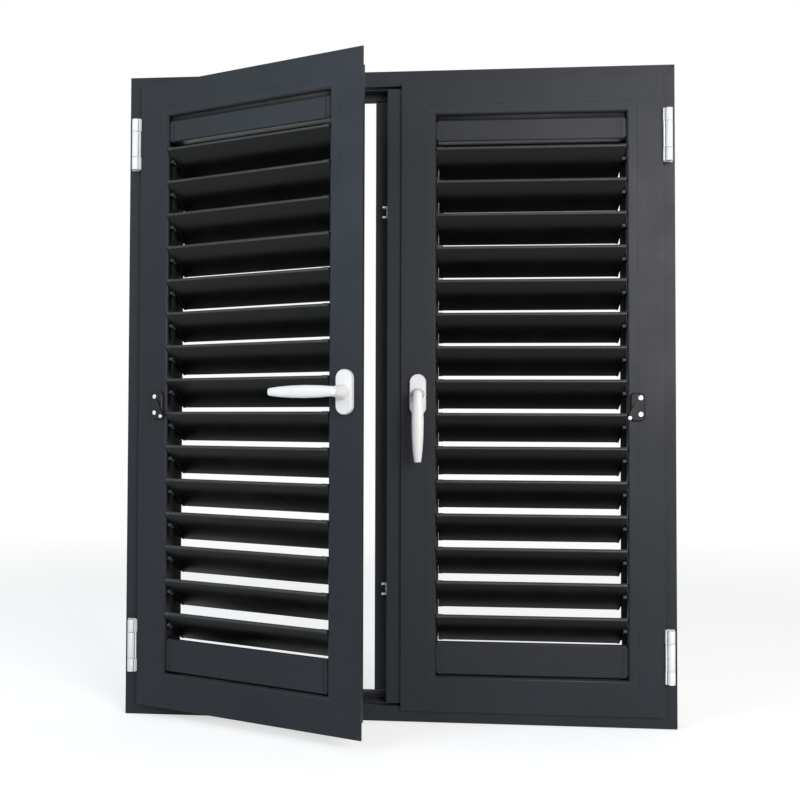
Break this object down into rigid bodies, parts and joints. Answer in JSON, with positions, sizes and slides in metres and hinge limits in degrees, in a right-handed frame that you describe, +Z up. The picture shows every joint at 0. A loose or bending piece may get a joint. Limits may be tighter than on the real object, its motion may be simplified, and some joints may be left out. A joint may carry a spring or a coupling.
{
  "type": "louvred casement window",
  "caption": "Side-hung louvred window with its frame: each leaf holds a bank of tilting slats, coupled by a control rod, with a tilt lever, a turning handle and butt hinges.",
  "frame": {"origin": "the middle of the sill's underside, halfway through the frame's depth", "axes": "+X along the width to the right as seen from the room, +Y from the room outwards, +Z up"},
  "size_m": [1, 0.2918, 1.19],
  "materials": {
    "frame_paint": "satin powder coat, dark slate grey",
    "slat_paint": "satin powder coat, near black",
    "gasket_rubber": "matt black gasket",
    "hardware_white": "satin white coat",
    "lever_plastic": "satin slate grey plastic",
    "carrier_plastic": "matt black plastic",
    "rod_metal": "black anodised",
    "keep_metal": "bright satin"
  },
  "bodies": {
    "frame": {"frame_jamb_left": "frame_paint", "frame_jamb_right": "frame_paint", "frame_head": "frame_paint", "frame_sill": "frame_paint", "frame_gasket": "gasket_rubber", "frame_hinge_leaves": "hardware_white"},
    "sash_left": {"sash_left_lock_stile": "frame_paint", "sash_left_hinge_stile": "frame_paint", "sash_left_rails": "frame_paint", "sash_left_fillers": "frame_paint", "sash_left_slat_carriers": "carrier_plastic", "sash_left_hinge_leaves": "hardware_white", "handle_left_rosette": "hardware_white", "tilt_lever_left_housing": "lever_plastic"},
    "handle_left": {"handle_left": "hardware_white"},
    "tilt_lever_left": {"tilt_lever_left": "lever_plastic"},
    "control_rod_left": {"control_rod_left": "rod_metal"},
    "slat_left_01": {"slat_left_01": "slat_paint"},
    "slat_left_02": {"slat_left_02": "slat_paint"},
    "slat_left_03": {"slat_left_03": "slat_paint"},
    "slat_left_04": {"slat_left_04": "slat_paint"},
    "slat_left_05": {"slat_left_05": "slat_paint"},
    "slat_left_06": {"slat_left_06": "slat_paint"},
    "slat_left_07": {"slat_left_07": "slat_paint"},
    "slat_left_08": {"slat_left_08": "slat_paint"},
    "slat_left_09": {"slat_left_09": "slat_paint"},
    "slat_left_10": {"slat_left_10": "slat_paint"},
    "slat_left_11": {"slat_left_11": "slat_paint"},
    "slat_left_12": {"slat_left_12": "slat_paint"},
    "slat_left_13": {"slat_left_13": "slat_paint"},
    "slat_left_14": {"slat_left_14": "slat_paint"},
    "slat_left_15": {"slat_left_15": "slat_paint"},
    "sash_right": {"sash_right_lock_stile": "frame_paint", "sash_right_hinge_stile": "frame_paint", "sash_right_rails": "frame_paint", "sash_right_fillers": "frame_paint", "sash_right_slat_carriers": "carrier_plastic", "sash_right_hinge_leaves": "hardware_white", "handle_right_rosette": "hardware_white", "tilt_lever_right_housing": "lever_plastic", "astragal": "frame_paint", "astragal_keeps": "keep_metal"},
    "handle_right": {"handle_right": "hardware_white"},
    "tilt_lever_right": {"tilt_lever_right": "lever_plastic"},
    "control_rod_right": {"control_rod_right": "rod_metal"},
    "slat_right_01": {"slat_right_01": "slat_paint"},
    "slat_right_02": {"slat_right_02": "slat_paint"},
    "slat_right_03": {"slat_right_03": "slat_paint"},
    "slat_right_04": {"slat_right_04": "slat_paint"},
    "slat_right_05": {"slat_right_05": "slat_paint"},
    "slat_right_06": {"slat_right_06": "slat_paint"},
    "slat_right_07": {"slat_right_07": "slat_paint"},
    "slat_right_08": {"slat_right_08": "slat_paint"},
    "slat_right_09": {"slat_right_09": "slat_paint"},
    "slat_right_10": {"slat_right_10": "slat_paint"},
    "slat_right_11": {"slat_right_11": "slat_paint"},
    "slat_right_12": {"slat_right_12": "slat_paint"},
    "slat_right_13": {"slat_right_13": "slat_paint"},
    "slat_right_14": {"slat_right_14": "slat_paint"},
    "slat_right_15": {"slat_right_15": "slat_paint"}
  },
  "joints": [
    {"name": "sash_left_swing", "type": "hinge", "parent": "frame", "child": "sash_left", "pos_m": [-0.487, -0.036, 0.595], "axis": [0, 0, 1], "range_deg": [-70.5, 24.5]},
    {"name": "handle_left_turn", "type": "hinge", "parent": "sash_left", "child": "handle_left", "pos_m": [-0.07817, -0.21682, 0.5925], "axis": [0.4147, 0.91, 0], "range_deg": [-90, 0]},
    {"name": "slat_left_09_tilt", "type": "hinge", "parent": "sash_left", "child": "slat_left_09", "pos_m": [-0.25464, -0.11332, 0.5336], "axis": [0.91, -0.4147, 0], "range_deg": [-32, 50]},
    {"name": "slat_left_01_tilt", "type": "hinge", "parent": "sash_left", "child": "slat_left_01", "pos_m": [-0.25464, -0.11332, 1.0192], "axis": [0.91, -0.4147, 0], "range_deg": [-32, 50]},
    {"name": "slat_left_02_tilt", "type": "hinge", "parent": "sash_left", "child": "slat_left_02", "pos_m": [-0.25464, -0.11332, 0.9585], "axis": [0.91, -0.4147, 0], "range_deg": [-32, 50]},
    {"name": "slat_left_03_tilt", "type": "hinge", "parent": "sash_left", "child": "slat_left_03", "pos_m": [-0.25464, -0.11332, 0.8978], "axis": [0.91, -0.4147, 0], "range_deg": [-32, 50]},
    {"name": "slat_left_04_tilt", "type": "hinge", "parent": "sash_left", "child": "slat_left_04", "pos_m": [-0.25464, -0.11332, 0.8371], "axis": [0.91, -0.4147, 0], "range_deg": [-32, 50]},
    {"name": "slat_left_05_tilt", "type": "hinge", "parent": "sash_left", "child": "slat_left_05", "pos_m": [-0.25464, -0.11332, 0.7764], "axis": [0.91, -0.4147, 0], "range_deg": [-32, 50]},
    {"name": "slat_left_06_tilt", "type": "hinge", "parent": "sash_left", "child": "slat_left_06", "pos_m": [-0.25464, -0.11332, 0.7157], "axis": [0.91, -0.4147, 0], "range_deg": [-32, 50]},
    {"name": "slat_left_07_tilt", "type": "hinge", "parent": "sash_left", "child": "slat_left_07", "pos_m": [-0.25464, -0.11332, 0.655], "axis": [0.91, -0.4147, 0], "range_deg": [-32, 50]},
    {"name": "slat_left_08_tilt", "type": "hinge", "parent": "sash_left", "child": "slat_left_08", "pos_m": [-0.25464, -0.11332, 0.5943], "axis": [0.91, -0.4147, 0], "range_deg": [-32, 50]},
    {"name": "slat_left_10_tilt", "type": "hinge", "parent": "sash_left", "child": "slat_left_10", "pos_m": [-0.25464, -0.11332, 0.4729], "axis": [0.91, -0.4147, 0], "range_deg": [-32, 50]},
    {"name": "slat_left_11_tilt", "type": "hinge", "parent": "sash_left", "child": "slat_left_11", "pos_m": [-0.25464, -0.11332, 0.4122], "axis": [0.91, -0.4147, 0], "range_deg": [-32, 50]},
    {"name": "slat_left_12_tilt", "type": "hinge", "parent": "sash_left", "child": "slat_left_12", "pos_m": [-0.25464, -0.11332, 0.3515], "axis": [0.91, -0.4147, 0], "range_deg": [-32, 50]},
    {"name": "slat_left_13_tilt", "type": "hinge", "parent": "sash_left", "child": "slat_left_13", "pos_m": [-0.25464, -0.11332, 0.2908], "axis": [0.91, -0.4147, 0], "range_deg": [-32, 50]},
    {"name": "slat_left_14_tilt", "type": "hinge", "parent": "sash_left", "child": "slat_left_14", "pos_m": [-0.25464, -0.11332, 0.2301], "axis": [0.91, -0.4147, 0], "range_deg": [-32, 50]},
    {"name": "slat_left_15_tilt", "type": "hinge", "parent": "sash_left", "child": "slat_left_15", "pos_m": [-0.25464, -0.11332, 0.1694], "axis": [0.91, -0.4147, 0], "range_deg": [-32, 50]},
    {"name": "control_rod_left_pivot", "type": "hinge", "parent": "slat_left_09", "child": "control_rod_left", "pos_m": [-0.41615, -0.05176, 0.53456], "axis": [0.91, -0.4147, 0], "range_deg": [-50, 32]},
    {"name": "tilt_lever_left_turn", "type": "hinge", "parent": "sash_left", "child": "tilt_lever_left", "pos_m": [-0.43351, -0.05488, 0.575], "axis": [0.4147, 0.91, 0], "range_deg": [-12.8, 20]},
    {"name": "sash_right_swing", "type": "hinge", "parent": "frame", "child": "sash_right", "pos_m": [0.487, -0.036, 0.595], "axis": [0, 0, 1], "range_deg": [0, 95]},
    {"name": "handle_right_turn", "type": "hinge", "parent": "sash_right", "child": "handle_right", "pos_m": [0.04, -0.031, 0.5925], "axis": [0, 1, 0], "range_deg": [-90, 0]},
    {"name": "slat_right_09_tilt", "type": "hinge", "parent": "sash_right", "child": "slat_right_09", "pos_m": [0.2435, -0.01, 0.5336], "axis": [1, 0, 0], "range_deg": [-32, 50]},
    {"name": "slat_right_01_tilt", "type": "hinge", "parent": "sash_right", "child": "slat_right_01", "pos_m": [0.2435, -0.01, 1.0192], "axis": [1, 0, 0], "range_deg": [-32, 50]},
    {"name": "slat_right_02_tilt", "type": "hinge", "parent": "sash_right", "child": "slat_right_02", "pos_m": [0.2435, -0.01, 0.9585], "axis": [1, 0, 0], "range_deg": [-32, 50]},
    {"name": "slat_right_03_tilt", "type": "hinge", "parent": "sash_right", "child": "slat_right_03", "pos_m": [0.2435, -0.01, 0.8978], "axis": [1, 0, 0], "range_deg": [-32, 50]},
    {"name": "slat_right_04_tilt", "type": "hinge", "parent": "sash_right", "child": "slat_right_04", "pos_m": [0.2435, -0.01, 0.8371], "axis": [1, 0, 0], "range_deg": [-32, 50]},
    {"name": "slat_right_05_tilt", "type": "hinge", "parent": "sash_right", "child": "slat_right_05", "pos_m": [0.2435, -0.01, 0.7764], "axis": [1, 0, 0], "range_deg": [-32, 50]},
    {"name": "slat_right_06_tilt", "type": "hinge", "parent": "sash_right", "child": "slat_right_06", "pos_m": [0.2435, -0.01, 0.7157], "axis": [1, 0, 0], "range_deg": [-32, 50]},
    {"name": "slat_right_07_tilt", "type": "hinge", "parent": "sash_right", "child": "slat_right_07", "pos_m": [0.2435, -0.01, 0.655], "axis": [1, 0, 0], "range_deg": [-32, 50]},
    {"name": "slat_right_08_tilt", "type": "hinge", "parent": "sash_right", "child": "slat_right_08", "pos_m": [0.2435, -0.01, 0.5943], "axis": [1, 0, 0], "range_deg": [-32, 50]},
    {"name": "slat_right_10_tilt", "type": "hinge", "parent": "sash_right", "child": "slat_right_10", "pos_m": [0.2435, -0.01, 0.4729], "axis": [1, 0, 0], "range_deg": [-32, 50]},
    {"name": "slat_right_11_tilt", "type": "hinge", "parent": "sash_right", "child": "slat_right_11", "pos_m": [0.2435, -0.01, 0.4122], "axis": [1, 0, 0], "range_deg": [-32, 50]},
    {"name": "slat_right_12_tilt", "type": "hinge", "parent": "sash_right", "child": "slat_right_12", "pos_m": [0.2435, -0.01, 0.3515], "axis": [1, 0, 0], "range_deg": [-32, 50]},
    {"name": "slat_right_13_tilt", "type": "hinge", "parent": "sash_right", "child": "slat_right_13", "pos_m": [0.2435, -0.01, 0.2908], "axis": [1, 0, 0], "range_deg": [-32, 50]},
    {"name": "slat_right_14_tilt", "type": "hinge", "parent": "sash_right", "child": "slat_right_14", "pos_m": [0.2435, -0.01, 0.2301], "axis": [1, 0, 0], "range_deg": [-32, 50]},
    {"name": "slat_right_15_tilt", "type": "hinge", "parent": "sash_right", "child": "slat_right_15", "pos_m": [0.2435, -0.01, 0.1694], "axis": [1, 0, 0], "range_deg": [-32, 50]},
    {"name": "control_rod_right_pivot", "type": "hinge", "parent": "slat_right_09", "child": "control_rod_right", "pos_m": [0.416, -0.02096, 0.53456], "axis": [1, 0, 0], "range_deg": [-50, 32]},
    {"name": "tilt_lever_right_turn", "type": "hinge", "parent": "sash_right", "child": "tilt_lever_right", "pos_m": [0.4305, -0.031, 0.575], "axis": [0, 1, 0], "range_deg": [-20, 12.8]}
  ],
  "couplings": [
    {"joint": "slat_left_01_tilt", "follows": "slat_left_09_tilt", "ratio": 1},
    {"joint": "slat_left_02_tilt", "follows": "slat_left_09_tilt", "ratio": 1},
    {"joint": "slat_left_03_tilt", "follows": "slat_left_09_tilt", "ratio": 1},
    {"joint": "slat_left_04_tilt", "follows": "slat_left_09_tilt", "ratio": 1},
    {"joint": "slat_left_05_tilt", "follows": "slat_left_09_tilt", "ratio": 1},
    {"joint": "slat_left_06_tilt", "follows": "slat_left_09_tilt", "ratio": 1},
    {"joint": "slat_left_07_tilt", "follows": "slat_left_09_tilt", "ratio": 1},
    {"joint": "slat_left_08_tilt", "follows": "slat_left_09_tilt", "ratio": 1},
    {"joint": "slat_left_10_tilt", "follows": "slat_left_09_tilt", "ratio": 1},
    {"joint": "slat_left_11_tilt", "follows": "slat_left_09_tilt", "ratio": 1},
    {"joint": "slat_left_12_tilt", "follows": "slat_left_09_tilt", "ratio": 1},
    {"joint": "slat_left_13_tilt", "follows": "slat_left_09_tilt", "ratio": 1},
    {"joint": "slat_left_14_tilt", "follows": "slat_left_09_tilt", "ratio": 1},
    {"joint": "slat_left_15_tilt", "follows": "slat_left_09_tilt", "ratio": 1},
    {"joint": "control_rod_left_pivot", "follows": "slat_left_09_tilt", "ratio": -1},
    {"joint": "tilt_lever_left_turn", "follows": "slat_left_09_tilt", "ratio": 0.4},
    {"joint": "slat_right_01_tilt", "follows": "slat_right_09_tilt", "ratio": 1},
    {"joint": "slat_right_02_tilt", "follows": "slat_right_09_tilt", "ratio": 1},
    {"joint": "slat_right_03_tilt", "follows": "slat_right_09_tilt", "ratio": 1},
    {"joint": "slat_right_04_tilt", "follows": "slat_right_09_tilt", "ratio": 1},
    {"joint": "slat_right_05_tilt", "follows": "slat_right_09_tilt", "ratio": 1},
    {"joint": "slat_right_06_tilt", "follows": "slat_right_09_tilt", "ratio": 1},
    {"joint": "slat_right_07_tilt", "follows": "slat_right_09_tilt", "ratio": 1},
    {"joint": "slat_right_08_tilt", "follows": "slat_right_09_tilt", "ratio": 1},
    {"joint": "slat_right_10_tilt", "follows": "slat_right_09_tilt", "ratio": 1},
    {"joint": "slat_right_11_tilt", "follows": "slat_right_09_tilt", "ratio": 1},
    {"joint": "slat_right_12_tilt", "follows": "slat_right_09_tilt", "ratio": 1},
    {"joint": "slat_right_13_tilt", "follows": "slat_right_09_tilt", "ratio": 1},
    {"joint": "slat_right_14_tilt", "follows": "slat_right_09_tilt", "ratio": 1},
    {"joint": "slat_right_15_tilt", "follows": "slat_right_09_tilt", "ratio": 1},
    {"joint": "control_rod_right_pivot", "follows": "slat_right_09_tilt", "ratio": -1},
    {"joint": "tilt_lever_right_turn", "follows": "slat_right_09_tilt", "ratio": -0.4}
  ]
}
